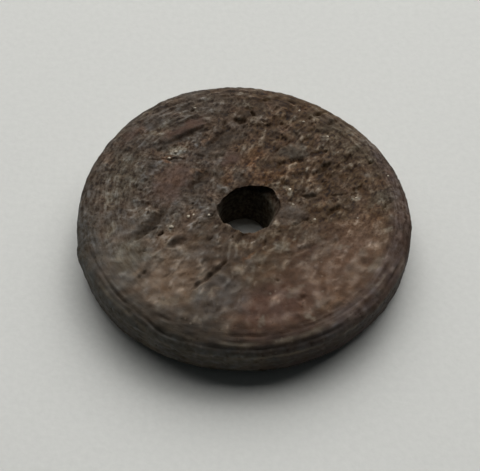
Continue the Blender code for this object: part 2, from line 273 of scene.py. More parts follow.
FACE_STAINS = (
    # Broad stains, in the order that they lie over each other
    Stain(-8.4, -10.8, 4.6, 3.6, 40, "tan", 0.80),
    Stain(-11.0, -8.0, 8.0, 5.5, -55, "pale", 0.20),
    Stain(13.0, -8.5, 7.0, 4.5, 55, "tan", 0.30),
    Stain(-9.0, -5.0, 3.4, 2.2, 40, "tan", 0.50),
    Stain(14.4, -5.3, 4.6, 3.4, 40, "tan", 0.65),
    Stain(10.3, -11.5, 5.0, 4.0, 45, "tan", 0.75),
    Stain(10.0, -9.0, 8.0, 5.5, 40, "red", 0.35),
    Stain(3.5, -15.0, 5.6, 3.8, 15, "red", 0.70),
    Stain(-8.7, 4.0, 4.2, 2.6, 62, "red", 0.50),
    Stain(-7.4, 13.0, 3.4, 0.9, 35, "red", 0.60),
    Stain(-1.4, 7.8, 1.7, 1.0, 36, "red", 0.60),
    Stain(-14.0, 12.2, 2.2, 1.0, 45, "red", 0.35),
    Stain(-2.8, -13.2, 3.6, 3.0, 40, "grey", 0.70),
    Stain(-14.0, -3.8, 2.4, 1.6, 45, "grey", 0.40),
    Stain(-11.3, 13.8, 1.6, 1.0, 40, "grey", 0.45),
    Stain(-13.7, -7.3, 2.8, 2.2, 60, "olive", 0.60),
    Stain(-8.4, -18.5, 3.0, 1.5, -15, "olive", 0.70),
    Stain(-15.0, 5.0, 5.0, 3.0, 80, "olive", 0.45),
    Stain(18.0, 1.6, 2.6, 1.6, 50, "olive", 0.55),
    Stain(6.7, 9.0, 1.6, 1.5, 0, "grey", 0.45),
    Stain(6.7, 9.0, 1.6, 1.5, 0, "olive", 0.50),
    Stain(6.7, 8.8, 1.6, 1.5, 0, "soil", 0.32),
    Stain(8.4, 1.8, 1.6, 0.6, 2, "soil", 0.45),
    # Painted shade in a hollow
    Stain(4.5, 6.2, 1.4, 0.8, 60, "soil", 0.36),
    Stain(8.6, -5.9, 3.4, 0.8, 27, "soil", 0.24),
    Stain(-0.9, -17.2, 2.5, 0.8, 0, "soil", 0.14),
    Stain(14.0, 11.0, 7.0, 3.5, -45, "olive", 0.40),
    Stain(6.0, -1.0, 2.2, 1.6, 40, "grey", 0.55),
    Stain(1.2, 8.2, 2.2, 1.2, 40, "ochre", 0.40),
    Stain(3.5, 5.0, 4.0, 1.2, 20, "ochre", 0.30),
    Stain(15.0, -2.2, 3.5, 1.2, 15, "ochre", 0.20),
    # Dark places: soil settled in the coarse grain, and painted shade in some gouges and hollows,
    # such as the long gouge lower left
    Stain(-7.6, 11.7, 4.2, 0.5, 34, "soil", 0.50),
    Stain(-2.8, 10.5, 3.4, 1.8, 45, "soil", 0.32),
    Stain(-5.4, 4.2, 2.6, 1.1, 55, "soil", 0.42),
    Stain(-6.3, 2.8, 1.8, 1.2, 50, "soil", 0.34),
    Stain(1.2, 15.6, 1.6, 1.2, 0, "soil", 0.40),
    Stain(5.0, 9.2, 2.4, 0.8, 42, "soil", 0.30),
    Stain(11.0, 13.6, 1.8, 1.2, 42, "soil", 0.26),
    Stain(10.6, 6.6, 2.0, 1.0, 45, "soil", 0.38),
    Stain(11.4, -0.2, 2.0, 0.8, 42, "soil", 0.24),
    # Painted shade in the long gouge, darker than its relief shades it
    Stain(-11.4, -2.7, 3.6, 0.8, 51, "soil", 0.50),
    Stain(-7.9, -5.3, 2.0, 1.0, 30, "soil", 0.54),
    Stain(-11.3, 14.0, 1.6, 0.8, 60, "soil", 0.22),
    Stain(-7.6, -18.0, 3.0, 1.2, -22, "soil", 0.34),
    Stain(-5.9, -18.2, 2.2, 1.0, -12, "soil", 0.58),
    Stain(-4.8, -17.2, 2.4, 1.1, -12, "soil", 0.42),
    Stain(-11.2, -9.6, 1.5, 0.9, 50, "soil", 0.55),
    Stain(9.3, -14.4, 1.5, 0.9, 35, "soil", 0.38),
    Stain(6.6, -3.2, 2.6, 1.4, 50, "soil", 0.22),
    Stain(-4.5, 9.5, 2.6, 0.9, 45, "soil", 0.28),
    Stain(-2.1, 13.6, 1.6, 0.9, 60, "soil", 0.24),
    Stain(1.4, 17.1, 1.4, 1.0, 40, "soil", 0.22),
    Stain(6.9, -13.5, 1.1, 0.6, 35, "soil", 0.30),
    Stain(-0.3, -15.0, 2.0, 1.2, 40, "soil", 0.14),
    # Rubbed and brown places over them
    Stain(9.5, -10.0, 2.0, 1.2, 40, "tan", 0.34),
    Stain(-3.6, -12.7, 1.0, 0.8, 50, "tan", 0.30),
    Stain(-5.2, -4.6, 2.6, 1.6, 40, "umber", 0.45),
)

# Small light places, where dust has dried on top
DUST_PLACES = (
    # Upper left
    Stain(-9.4, 8.0, 0.6, 0.4, 30, "ochre", 0.60),
    Stain(-8.5, 9.2, 1.1, 0.7, 30, "pale", 0.75),
    Stain(-11.3, 12.0, 0.9, 0.6, 40, "pale", 0.55),
    Stain(-9.8, 13.7, 1.4, 0.4, 38, "pale", 0.45),
    Stain(-12.6, 15.4, 0.5, 0.4, 20, "pale", 0.50),
    Stain(-6.2, 16.5, 0.5, 0.4, 30, "pale", 0.60),
    Stain(-4.5, 18.4, 0.6, 0.4, 60, "pale", 0.40),
    Stain(-4.5, 11.2, 1.7, 0.3, 42, "tan", 0.70),
    Stain(-5.8, 5.8, 1.6, 0.4, 25, "tan", 0.80),
    Stain(-1.0, 6.6, 1.9, 0.5, 30, "tan", 0.70),
    Stain(-1.8, 4.6, 1.2, 0.9, 60, "ochre", 0.30),
    Stain(-14.4, 3.4, 1.4, 0.8, 45, "pale", 0.30),
    Stain(-16.4, 1.1, 1.8, 0.8, 75, "pale", 0.50),
    # Upper right
    Stain(0.6, 17.0, 0.6, 0.4, 0, "pale", 0.50),
    Stain(0.2, 19.0, 0.9, 0.5, 20, "pale", 0.40),
    Stain(1.2, 6.2, 1.1, 0.7, 20, "ochre", 0.95),
    Stain(1.0, 6.1, 0.6, 0.3, 20, "pale", 0.45),
    Stain(5.6, 13.2, 1.2, 0.4, 25, "tan", 0.80),
    Stain(9.8, 11.0, 0.9, 0.4, 80, "tan", 0.80),
    Stain(12.0, 9.0, 0.7, 0.4, 40, "pale", 0.40),
    Stain(6.0, 2.7, 0.9, 0.6, 90, "pale", 0.80),
    Stain(6.3, 0.3, 0.6, 0.3, 80, "pale", 0.50),
    Stain(14.3, 1.4, 0.5, 0.4, 60, "pale", 0.60),
    Stain(16.3, 0.0, 1.3, 0.4, 30, "ochre", 0.35),
    # Lower left
    Stain(-8.7, -3.1, 0.8, 0.6, 80, "pale", 0.75),
    Stain(-16.1, -3.6, 1.4, 0.4, 68, "pale", 0.65),
    Stain(-14.5, -6.6, 1.3, 0.5, 50, "pale", 0.50),
    Stain(-10.9, -7.2, 1.4, 0.4, 10, "pale", 0.50),
    Stain(-4.8, -9.8, 0.9, 0.3, 42, "pale", 0.45),
    Stain(-3.8, -12.5, 0.9, 0.5, 35, "pale", 0.50),
    Stain(-6.0, -13.6, 1.5, 1.0, 20, "pale", 0.28),
    Stain(-9.0, -14.3, 1.8, 0.7, 35, "pale", 0.45),
    Stain(-0.6, -5.6, 0.8, 0.5, 60, "pale", 0.45),
    # Lower right
    Stain(14.6, -1.3, 1.7, 0.8, 35, "tan", 0.60),
    Stain(5.0, -6.2, 1.0, 0.9, 50, "pale", 0.75),
    Stain(6.2, -4.5, 0.9, 0.3, 85, "pale", 0.50),
    Stain(7.6, -4.6, 1.1, 0.5, 75, "pale", 0.30),
    Stain(1.0, -7.5, 0.9, 0.3, 20, "ochre", 0.60),
    Stain(1.2, -9.4, 0.6, 0.3, 20, "pale", 0.45),
    Stain(12.0, -5.9, 0.8, 0.5, 30, "pale", 0.45),
    Stain(9.6, -7.0, 2.2, 0.9, 42, "pale", 0.20),
    Stain(13.2, -9.4, 2.2, 0.9, 45, "pale", 0.20),
    Stain(14.8, -6.8, 1.0, 0.6, 60, "pale", 0.35),
    Stain(11.8, -14.4, 1.6, 0.7, 40, "tan", 0.30),
    Stain(5.8, -12.8, 1.7, 0.8, 35, "pale", 0.40),
    Stain(2.2, -16.5, 0.9, 0.7, 30, "pale", 0.50),
    Stain(7.8, -16.4, 0.7, 0.6, -40, "pale", 0.50),
    Stain(16.3, -11.2, 1.5, 0.3, 48, "pale", 0.40),
    Stain(16.2, -5.0, 1.0, 0.4, 60, "tan", 0.60),
    Stain(16.0, -8.6, 1.4, 0.7, 60, "pale", 0.35),
    Stain(18.3, -3.2, 0.7, 0.4, 30, "pale", 0.50),
)

# Grains of pale sand caught in the face: where each sits and its width, in mm
SAND_GRAINS = (
    (-6.6, -1.4, 0.46), (-6.0, -1.2, 0.36), (-4.1, -1.2, 0.44), (-8.7, -3.0, 0.56),
    (-6.2, 16.5, 0.30), (7.5, 16.0, 0.28), (8.0, 14.1, 0.30), (11.0, 11.5, 0.38),
    (6.0, 2.8, 0.50), (6.3, 0.4, 0.28), (8.9, -1.9, 0.30), (14.2, -1.7, 0.26),
    (18.4, 5.0, 0.24), (14.2, 1.5, 0.30), (-8.5, 9.0, 0.44), (-9.3, 8.0, 0.40),
)

# A grain's radius and how far its middle lies under the face, as shares of its width, and its
# height as a share of its length
GRAIN_RADIUS = 0.58
GRAIN_SUNK = 0.38
GRAIN_HEIGHT = 0.55

# A height in mm that is well above the disc, and how far the floor reaches each way, in metres
ABOVE_DISC = 20.0
FLOOR_REACH = 1.5

# A faint stroke in the face, proud and light where its tone is over 0, sunk and dark under 0
Stroke = namedtuple("Stroke", "x y length width direction tone")

# One ring of the disc's skin: its radius and height before wear, in mm, and its region
Ring = namedtuple("Ring", "radius height region")

# What is known of each corner of the skin before wear: where it is, its direction round the disc
# in radians, how far in from the rim it lies, its region and how calm the face is there
Skin = namedtuple("Skin", "x y z turn inset region calm")


def linear_colour(code):
    """The linear colour, with full alpha, of an sRGB hex code such as "#5a4a3d"."""
    values = [int(code[at:at + 2], 16) / 255 for at in (1, 3, 5)]
    linear = [v / 12.92 if v <= 0.04045 else ((v + 0.055) / 1.055) ** 2.4 for v in values]
    return (*linear, 1.0)


def length_property(name, description, metres):
    return FloatProperty(name=name, description=description, default=metres, min=0.0,
                         precision=5, subtype="DISTANCE", unit="LENGTH")


def angle_property(name, description, degrees):
    return FloatProperty(name=name, description=description, default=math.radians(degrees),
                         subtype="ANGLE", unit="ROTATION")


def count_property(name, description, count):
    return IntProperty(name=name, description=description, default=count, min=0)


def colour_property(name, description, code):
    return FloatVectorProperty(name=name, description=description, size=4, min=0.0, max=1.0,
                               default=linear_colour(code), subtype="COLOR")


class BoneDiscSizes(bpy.types.PropertyGroup):
    """Sizes of the disc, of its hole and of what wear has done to them"""

    diameter: length_property("Diameter", "Width of the disc as it was turned", 0.042)
    thickness: length_property("Thickness", "Height of the flat face", CAD_BOX[1].z)
    shoulder_width: length_property("Shoulder width", "From the wall in to the face", 0.0023)
    shoulder_drop: length_property("Shoulder drop", "From the face down to the wall", 0.0018)
    foot_rounding: length_property("Foot rounding", "Radius of the lower edge", 0.0019)
    hole_foot: length_property("Hole at the foot", "Width of the hole below", 0.0058)
    hole_throat: length_property("Hole at the throat", "Width of the hole above", 0.0070)
    hole_lean: angle_property("Hole lean", "How far the drill was out of upright", 7.0)
    groove_depth: length_property("Groove depth", "Depth of the shoulder groove", 0.00020)
    grain_depth: length_property("Grain depth", "Depth of the worn grain", 0.00015)
    pores: count_property("Pores", "Open pores in the face", 520)
    strokes: count_property("Strokes", "Faint strokes of the grain", 1500)


class BoneDiscColours(bpy.types.PropertyGroup):
    """Colours of the bone, of its stains and of the floor"""

    brown: colour_property("Brown", "Most of the bone", "#4c4238")
    umber: colour_property("Umber", "The warmer bone of the right half", "#463421")
    tan: colour_property("Tan", "Warm rubbed bone", "#6c5542")
    red: colour_property("Red", "Smooth red-brown bone", "#573d32")
    mauve: colour_property("Mauve", "The near shoulder, dark and a little red", "#4a3d39")
    grey: colour_property("Grey", "Bone with a grey skin", "#4f4842")
    wall: colour_property("Wall", "The greyed skin of the wall", "#5a5751")
    olive: colour_property("Olive", "Bone with a trace of green", "#524a3c")
    ochre: colour_property("Ochre", "Orange soil", "#6e4a2b")
    pale: colour_property("Pale", "Dry pale soil", "#7c7364")
    # Dark soil, laid in pits and stains; in the grooves, hollows and some gouges it is painted shade
    soil: colour_property("Soil", "Dark soil in pits and grooves", "#1b120a")
    fleck: colour_property("Fleck", "Specks of dried soil", "#85796a")
    sand: colour_property("Sand", "Pale grains of sand", "#b8ab95")
    floor: colour_property("Floor", "The pale floor", "#dbdbd6")


# Shares and noise

def smooth_step(low, high, value):
    """0 below low, 1 above high and an S-shaped rise between; low may be the larger."""
    share = np.clip((value - low) / (high - low), 0.0, 1.0)
    return share * share * (3 - 2 * share)


def along_stretch(turn, start, end, fade):
    """1 where a direction lies between start and end, and falling to 0 over the fade past them."""
    middle = (start + end) / 2
    away = np.abs((np.degrees(turn) - middle + 180) % 360 - 180)
    return smooth_step((end - start) / 2 + fade, (end - start) / 2, away)


def stretch_share(stretch, turn, inset):
    """1 inside a stretch of the rim and falling to 0 outside it."""
    return (along_stretch(turn, stretch.start, stretch.end, stretch.fade)
            * smooth_step(stretch.ends, stretch.whole, inset))


def groove(inset, middle, width):
    """A rounded groove, 1 at its middle and 0 at its edges."""
    away = np.clip(np.abs(inset - middle) / (width / 2), 0.0, 1.0)
    return 0.5 + 0.5 * np.cos(np.pi * away)


def line_amount(line, turn, inset):
    """How deep or strong a line along the shoulder is at each point."""
    return (line.amount * groove(inset, line.inset, line.width)
            * along_stretch(turn, line.start, line.end, line.fade))


def along_and_across(place, x, y):
    """How far each point lies along and across the direction of a mark or a stain, in mm."""
    run = np.radians(place.direction)
    away_x, away_y = x - place.x, y - place.y
    along = away_x * np.cos(run) + away_y * np.sin(run)
    across = away_y * np.cos(run) - away_x * np.sin(run)
    return along, across


def perlin(x, y, z, seed):
    """Smooth noise, from about -1 to 1, at each of the points given in cells of the noise."""
    x, y, z = np.broadcast_arrays(x, y, z)
    far_x, far_y, far_z = (seed * shift for shift in NOISE_SHIFT)
    points = zip(x.ravel() + far_x, y.ravel() + far_y, z.ravel() + far_z)
    values = [noise.noise(point) for point in points]
    return NOISE_GAIN * np.array(values).reshape(x.shape)


def face_noise(x, y, width, height, seed):
    """Smooth noise over the face, with cells of a width along X and a height along Y in mm."""
    return perlin(x / width, y / height, 0.0, seed)


def ragged(x, y, *layers):
    """Noise that makes an edge ragged. Each layer is an amount, a cell's width in mm and a seed."""
    return sum(amount * face_noise(x, y, width, width, seed) for amount, width, seed in layers)


def round_noise(turn, per_radian, reach, seed):
    """Smooth noise round the disc, with a number of cells to a radian. Reach is in cells."""
    return perlin(per_radian * np.cos(turn), per_radian * np.sin(turn), reach, seed)


def bumps_round(turn, layers):
    """Bumps that follow each other round the disc, in mm."""
    return sum(height * round_noise(turn, closeness, 0.0, seed)
               for height, closeness, seed in layers)


def shoulder_noise(turn, inset, length, width, seed):
    """Noise drawn out round the disc, as the turner's tool left it. Its cells have a width in mm,
    and a length in mm on the shoulder's circle."""
    return round_noise(turn, SHOULDER_CIRCLE / length, inset / width, seed)


def wall_noise(turn, z, length, height, seed):
    """Noise round the wall. Its cells have a height in mm, and a length in mm on its circle."""
    return round_noise(turn, WALL_CIRCLE / length, z / height, seed)


# The disc's shape

def round_the_disc(turn, pairs):
    """A value that changes round the disc, from a few pairs of a direction and a value."""
    directions, values = zip(*pairs)
    return np.interp(np.degrees(turn), directions, values, period=360)


def outline_radius(turn, radius):
    """How far out the worn outline lies, in mm, without its small bumps."""
    worn = np.full_like(turn, radius)
    for places, amount, direction in OUTLINE_WEAR:
        worn += amount * np.cos(places * (turn - np.radians(direction)))
    return worn


def outline_middle(radius):
    """The middle of the worn outline's box, which lies over the origin."""
    turn = np.radians(np.arange(0.0, 360.0, OUTLINE_STEP))
    reach = outline_radius(turn, radius)
    across, along = reach * np.cos(turn), reach * np.sin(turn)
    return np.array([(across.min() + across.max()) / 2, (along.min() + along.max()) / 2, 0.0])


def spread(start, end, count):
    """Evenly spaced values from start up to but without end."""
    return list(np.linspace(start, end, count, endpoint=False))


def quarter_turn(count):
    """A count of directions over a quarter of a turn, in radians."""
    return np.radians(np.array(spread(0, 90, count)))


def skin_rings(size):
    """The closed section of the disc, from the foot of the hole up, out over the face, down the
    wall and back in along the underside."""
    count = RING_COUNTS
    radius, top = size["radius"], size["thickness"]
    foot, throat = size["hole_foot"] / 2, size["hole_throat"] / 2
    width, drop, rounding = size["shoulder_width"], size["shoulder_drop"], size["foot_rounding"]
    face_end, throat_top = radius - width, top - LIP_HEIGHT

    rings = [Ring(foot + FLARE_WIDTH * (1 - share), FLARE_HEIGHT * share, "hole")
             for share in spread(0, 1, count["flare"])]
    rings += [Ring(foot + (throat - foot) * z / top, z, "hole")
              for z in spread(FLARE_HEIGHT, throat_top, count["hole"])]
    rings += [Ring(throat + LIP_WIDTH * share, throat_top + LIP_HEIGHT * share ** 1.3, "lip")
              for share in spread(0, 1, count["lip"])]
    rings += [Ring(reach, top, "face")
              for reach in spread(size["mouth_radius"], MIDDLE_RING, count["inner face"])]
    rings += [Ring(reach, top, "face")
              for reach in spread(MIDDLE_RING, face_end, count["outer face"])]
    rings += [Ring(radius - width * (1 - np.sin(turn)), top - drop * (1 - np.cos(turn)), "face")
              for turn in quarter_turn(count["shoulder"])]
    rings += [Ring(radius, z, "wall") for z in spread(top - drop, rounding, count["wall"])]
    rings += [Ring(radius - rounding * (1 - np.cos(turn)), rounding * (1 - np.sin(turn)), "wall")
              for turn in quarter_turn(count["foot"])]
    rings += [Ring(reach, 0.0, "underside")
              for reach in spread(radius - rounding, foot + FLARE_WIDTH, count["underside"])]
    return rings


def turned_skin(rings):
    """A bmesh of the section spun round Z. Past the middle ring it has twice the steps, so that
    its faces are about as small there. Each corner carries the number of its ring."""
    skin = bmesh.new()
    number = skin.verts.layers.float.new("ring")
    for at, ring in enumerate(rings):
        corner = skin.verts.new((ring.radius, 0.0, ring.height))
        corner[number] = at
    skin.verts.ensure_lookup_table()
    for at in range(len(rings)):
        skin.edges.new((skin.verts[at - 1], skin.verts[at]))
    bmesh.ops.spin(skin, geom=skin.verts[:] + skin.edges[:], cent=(0, 0, 0), axis=(0, 0, 1),
                   angle=2 * math.pi, steps=INNER_STEPS, use_merge=True, use_duplicate=False)
    outer = [at for at, ring in enumerate(rings)
             if ring.region in ("face", "wall") and ring.radius >= MIDDLE_RING]
    first, last = min(outer), max(outer)
    split = []
    for edge in skin.edges:
        ends = [corner[number] for corner in edge.verts]
        if abs(ends[0] - ends[1]) < 0.5 and first <= ends[0] <= last:
            split.append(edge)
    bmesh.ops.subdivide_edges(skin, edges=split, cuts=1, use_grid_fill=True)
    bmesh.ops.recalc_face_normals(skin, faces=skin.faces)
    return skin


def place_rings(size, rings, number, turn):
    """What is known of each corner before its surface is worn, and which way is out there. The
    section is spread over the worn outline, the leaning hole, its mouth and the shoulder."""
    radius = np.array([ring.radius for ring in rings])[number]
    height = np.array([ring.height for ring in rings])[number]
    region = np.array([ring.region for ring in rings])[number]
    section = np.array([(ring.radius, ring.height) for ring in rings])
    step = np.roll(section, -1, axis=0) - np.roll(section, 1, axis=0)
    step /= np.linalg.norm(step, axis=1)[:, None]
    out_radial, out_up = -step[number, 1], step[number, 0]
    ahead = np.stack([np.cos(turn), np.sin(turn)], axis=1)

    worn = outline_radius(turn, size["radius"]) / size["radius"]
    bumps = bumps_round(turn, OUTLINE_BUMPS) - OUTLINE_DRAWN_IN
    turned = ahead * (radius * worn + bumps)[:, None]

    lean = np.radians(HOLE_LEANS_TO)
    drift = np.tan(size["hole_lean"]) * height
    hole_x = HOLE_FOOT[0] + drift * np.cos(lean)
    hole_y = HOLE_FOOT[1] + drift * np.sin(lean)
    mouth = round_the_disc(turn, MOUTH_EDGE) + bumps_round(turn, MOUTH_BUMPS)
    widen = (mouth - size["mouth_radius"]) * smooth_step(4.6, size["thickness"], height)
    widen *= out_up > -0.5
    drilled = np.stack([hole_x, hole_y], axis=1) + ahead * (radius + widen)[:, None]

    # The circles of the hole go over into the worn outline between 4 and 9 mm out
    from_hole = smooth_step(4.0, 9.0, radius)[:, None]
    x, y = (drilled + (turned - drilled) * from_hole).T

    inset = size["radius"] - radius
    eased = np.clip(1 - inset / round_the_disc(turn, FACE_EDGE), 0.0, 1.0)
    drop = size["shoulder_drop"] * (1 - np.sqrt(1 - eased ** 2))
    z = np.where(region == "face", np.minimum(height, size["thickness"] - drop), height)

    out = np.column_stack([ahead * out_radial[:, None], out_up])
    return Skin(x, y, z, turn, inset, region, calm_share(x, y)), out


# The grain, and how open it is

def crisp_share(y):
    """The near side is rubbed softer than the far side: 1 at the back and less in front."""
    return 0.40 + 0.60 * smooth_step(-12.0, 4.0, y)


def coarse_share(x, y):
    """1 where the face is open and coarse, and less where it is rubbed smooth, lower right."""
    return 1 - 0.8 * smooth_step(3.0, 11.0, 0.62 * x - 0.78 * y)


def calm_share(x, y):
    """Up to 1 inside red, grey and soil stains, where little grain shows. Away from them it is 0,
    and it fades out towards the near side."""
    share = np.zeros_like(x)
    for stain in FACE_STAINS:
        if stain.colour in ("red", "grey", "soil"):
            share = np.maximum(share, min(1.0, 1.4 * stain.cover) * stain_share(stain, x, y))
    return share * smooth_step(-12.0, 2.0, y)


def stain_share(stain, x, y):
    """How much of a stain there is at each point, from 1 in its middle to 0 past its edge."""
    along, across = along_and_across(stain, x, y)
    return smooth_step(1.25, 0.40, np.hypot(along / stain.along, across / stain.across))


def grain_direction(x, y):
    """The grain runs at about 57 degrees, flatter in the upper left and steeper lower right."""
    return 57 - 10 * smooth_step(0.0, 14.0, y - 0.6 * x) + 7 * smooth_step(-4.0, 8.0, x - y)


def grain_lines(x, y, spacing, length, seed):
    """Noise drawn out along the grain: one cell is a spacing wide and a length long, in mm."""
    turn = np.radians(grain_direction(x, y))
    along = x * np.cos(turn) + y * np.sin(turn)
    across = y * np.cos(turn) - x * np.sin(turn)
    across += ragged(x, y, (0.45, 6.0, seed + 40), (0.30, 2.2, seed + 70))
    return perlin(along / length, across / spacing, 0.0, seed)


# Marks, pores and strokes

def places_near(marks, x, y):
    """For each mark, the points near it, with how far each lies along and across the mark as a
    share of half its length and of half its width."""
    order = np.argsort(x)
    sorted_x = x[order]
    for mark in marks:
        reach = 0.75 * mark.length + 0.5
        first, last = np.searchsorted(sorted_x, (mark.x - reach, mark.x + reach))
        near = order[first:last]
        near = near[np.abs(y[near] - mark.y) < reach]
        along, across = along_and_across(mark, x[near], y[near])
        yield mark, near, along / (mark.length / 2), across / (mark.width / 2)


def mark_depths(marks, x, y):
    """How deep a set of marks cuts at each point, in mm. Their edges and floors are ragged, their
    ends taper, and they are shallower on the far side."""
    depth = np.zeros_like(x)
    torn = ragged(x, y, (0.22, 1.1, 60), (0.16, 0.5, 61))
    for mark, near, along, across in places_near(marks, x, y):
        taper = np.clip(1 - along ** 2, 0.0, 1.0)
        across = across / np.maximum(taper ** 0.8, 0.05)
        deepest = -0.8 * mark.lean
        side = np.where(across > deepest, 1 - deepest, 1 + deepest)
        slope = 1 - np.abs(across - deepest) / side
        rough = torn[near] * min(1.0, 2.5 / mark.length)
        slope = np.clip(slope + rough * smooth_step(-0.6, 0.3, slope), 0.0, 1.0)
        soft = 1 - 0.28 * smooth_step(-2.0, 6.0, mark.y)
        cut = soft * mark.depth * smooth_step(0.0, 0.9, slope) * smooth_step(0.0, 0.6, taper)
        depth[near] = np.maximum(depth[near], cut)
    return depth


def random_strokes(size):
    """Faint strokes along the grain, long and narrow, lighter or darker than the bone."""
    dice = np.random.default_rng(23)
    strokes = []
    for _ in range(size["strokes"]):
        x, y = dice.uniform(-size["radius"], size["radius"], 2)
        if dice.random() < (0.55 if y > -2.0 else 0.75):
            width, tone = dice.uniform(0.22, 0.55), dice.uniform(0.35, 0.85)
        else:
            width, tone = dice.uniform(0.35, 0.85), dice.uniform(-0.50, -0.20)
        length = width * dice.uniform(1.6, 4.5)
        direction = grain_direction(x, y) + dice.normal(0, 20)
        strokes.append(Stroke(x, y, length, width, direction, tone))
    return strokes


def stroke_tones(strokes, x, y):
    """How light or dark the strokes make each point, from -1 to 1."""
    tone = np.zeros_like(x)
    for stroke, near, along, across in places_near(strokes, x, y):
        tone[near] += stroke.tone * smooth_step(1.25, 0.45, np.hypot(along, across))
    return np.clip(tone, -1.0, 1.0)


def random_pores(size):
    """Small open pores: most on the far side, few in front and in the smooth lower right."""
    dice = np.random.default_rng(11)
    pores = []
    while len(pores) < size["pores"]:
        x, y = dice.uniform(-size["radius"], size["radius"], 2)
        if math.hypot(x, y) > size["radius"] - 0.6:
            continue
        if dice.random() > coarse_share(x, y) * crisp_share(y) ** 2:
            continue
        length = dice.uniform(0.40, 1.70)
        width = dice.uniform(0.20, 0.40)
        direction = grain_direction(x, y) + dice.normal(0, 9)
        depth = dice.uniform(0.08, 0.26) * width / 0.32
        pores.append(Mark(x, y, length, width, depth, direction, dice.uniform(-0.5, 0.5)))
    return pores


# Wear

def face_wear(size, skin, strokes):
    """The worn face, with its shoulder. Like each wear, it gives in mm at each point how deep the
    surface is worn, how much of that is fine grain, and how much is pits and grooves. Here the last
    also counts the ledge and the hollows, so the soil colour laid by it is painted shade in the
    grooves, on the ledge's low side and in the hollows."""
    x, y, turn, inset, calm = skin.x, skin.y, skin.turn, skin.inset, skin.calm
    coarse = coarse_share(x, y)
    rim = smooth_step(5.5, 2.5, inset)
    left = stretch_share(RINGED_LEFT, turn, inset)
    marked_x = x + ragged(x, y, (0.12, 0.7, 1), (0.07, 0.25, 2))
    marked_y = y + ragged(x, y, (0.12, 0.7, 3))

    broad = 0.10 + 0.03 * face_noise(x, y, 6.0, 6.0, 4)
    hollow = 0.24 * (0.3 + 0.7 * coarse) * (1 - rim) * (1 - left) * (1 - 0.8 * calm)
    hollow *= grain_lines(x, y, 1.8, 3.2, 16) + 0.10
    tones = stroke_tones(strokes, marked_x, marked_y)
    fine = size["grain_depth"] * (1 - 0.75 * calm)
    fine = fine * face_grain(skin, coarse, np.maximum(0.8 * rim, left), tones)

    marks = mark_depths(FACE_MARKS, marked_x, marked_y)
    pores = mark_depths(random_pores(size), marked_x, marked_y)
    pores *= (1 - 0.7 * calm) * (1 - 0.5 * left)
    pits = np.maximum(0.8 * marks, 0.7 * pores)
    ledge = ledge_depth(x, y)
    cut = groove_cuts(size, turn, inset)
    depth = broad + 0.7 * np.clip(hollow, -0.04, 1.0) + fine + pits + ledge + cut
    # The grooves, the ledge and the hollows count here so that they are painted darker: painted shade
    return depth, fine, pits + 0.8 * cut + 0.3 * ledge + 0.5 * np.clip(hollow, 0.0, 1.0)


def face_grain(skin, coarse, banded, tones):
    """The fine grain of the face, as a multiple of its depth: lines along the grain, small lumps
    and faint strokes, and near the rim the fine lines of turning."""
    x, y, turn, inset = skin.x, skin.y, skin.turn, skin.inset
    crisp = crisp_share(y)
    lines = grain_lines(x, y, 0.75, 2.4, 5) + 0.6 * crisp * grain_lines(x, y, 0.36, 1.1, 6)
    lumps = 1.2 * face_noise(x, y, 1.2, 0.95, 7) + 0.7 * crisp * face_noise(x, y, 0.5, 0.45, 8)
    turning = shoulder_noise(turn, inset, 1.8, 0.50, 9)
    turning += 0.6 * crisp * shoulder_noise(turn, inset, 1.0, 0.26, 10)
    turning *= 1 - 0.65 * along_stretch(turn, -160, 10, 25)
    grain = (0.5 + 0.5 * coarse) * (1 - 0.8 * banded) * (0.50 * lines + 0.56 * lumps)
    grain += banded * (0.75 * turning + 0.25 * lumps)
    return grain - 0.9 * tones * (1 - banded) * (0.4 + 0.6 * coarse)


def ledge_depth(x, y):
    """The low side of the ledge, in mm: steep at its line, then easing back up."""
    along, across = along_and_across(LEDGE, x, y)
    low = smooth_step(0.20, -0.20, across) * smooth_step(-LEDGE.width, -0.3, across)
    return LEDGE.depth * low * smooth_step(LEDGE.length / 2, 3.0, np.abs(along))


def groove_inset(turn):
    """How far in from the rim the turner's groove runs: close to it in front, further at the
    left."""
    drift = GROOVE_DRIFT * along_stretch(turn, -172, -134, 20)
    return GROOVE_INSET + drift + 0.06 * perlin(turn * 4, 0.0, 0.0, 12)


def groove_cuts(size, turn, inset):
    """Depth of the turner's grooves, in mm. The first two are worn away in places."""
    kept = np.clip(0.65 + 0.60 * perlin(turn * 5, inset / 3, 0.0, 13), 0.1, 1.1)
    first = size["groove_depth"] * groove(inset, groove_inset(turn), GROOVE_WIDTH)
    first *= 0.12 + 0.88 * along_stretch(turn, -158, -30, 20)
    second = line_amount(SECOND_GROOVE, turn, inset)
    return (first + second) * kept + line_amount(THIRD_GROOVE, turn, inset)


def ridge_highlight(turn, inset, z):
    """Where the ridges beside the grooves and the near corner are painted pale: a painted highlight
    in broken lines along the near shoulder."""
    broken = smooth_step(-0.35, 0.35, perlin(turn * 6, inset / 2, 0.0, 19))
    front = line_amount(FRONT_RIDGE, turn, inset)
    left = 0.8 * groove(inset, groove_inset(turn) - 0.75, 0.6)
    left *= along_stretch(turn, -160, -126, 10)
    corner = 0.7 * smooth_step(0.45, 0.05, np.abs(z - CORNER_HEIGHT)) * (inset < 1.0)
    corner *= along_stretch(turn, -115, -30, 15)
    return np.maximum(np.maximum(front, left), corner) * broken


